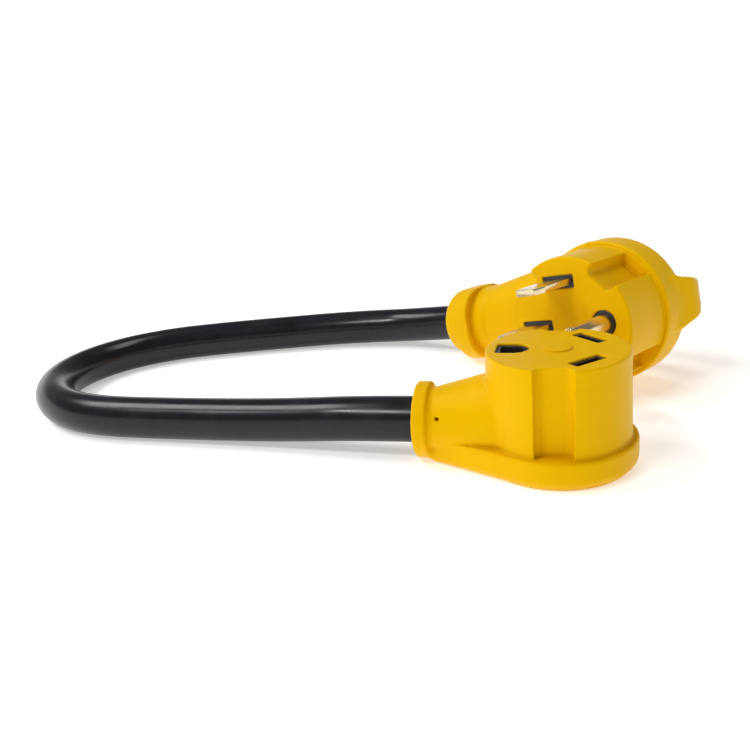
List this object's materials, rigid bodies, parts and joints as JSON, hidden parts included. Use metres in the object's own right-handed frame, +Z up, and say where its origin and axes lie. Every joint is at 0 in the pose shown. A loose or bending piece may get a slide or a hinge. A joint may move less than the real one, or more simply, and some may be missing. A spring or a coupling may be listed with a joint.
{
  "type": "power adapter dogbone",
  "caption": "Short heavy cable joining a side-entry four-blade plug with a looped pull handle to a side-entry three-slot socket.",
  "frame": {"origin": "centre of the socket's flat base, on the surface that the adapter lies on", "axes": "+Z up out of the socket's face, -X the way the cable leaves the socket, +Y towards the plug"},
  "size_m": [0.2895, 0.1647, 0.0591],
  "materials": {
    "yellow_moulding": "satin moulded PVC",
    "black_carrier": "satin moulded nylon",
    "brass": "satin",
    "copper": "stranded copper",
    "black_jacket": "semi-gloss PVC jacket",
    "paper_wrap": "paper separator tape",
    "filler": "twisted jute filler",
    "black_insulation": "PVC insulation",
    "white_insulation": "PVC insulation",
    "green_insulation": "PVC insulation"
  },
  "bodies": {
    "root": {"cable_jacket": "black_jacket", "core_wrap": "paper_wrap", "filler_cord_1": "filler", "filler_cord_2": "filler", "filler_cord_3": "filler", "ground_conductor": "copper", "ground_insulation": "green_insulation", "ground_pin": "brass", "hot_blade_x": "brass", "hot_blade_y": "brass", "line_conductor": "copper", "line_insulation": "black_insulation", "neutral_blade": "brass", "neutral_conductor": "copper", "neutral_insulation": "white_insulation", "plug_blade_carrier": "black_carrier", "plug_overmould": "yellow_moulding", "socket_contact_carrier": "black_carrier", "socket_ground_contact": "brass", "socket_line_contact": "brass", "socket_neutral_contact": "brass", "socket_overmould": "yellow_moulding"}
  },
  "joints": []
}
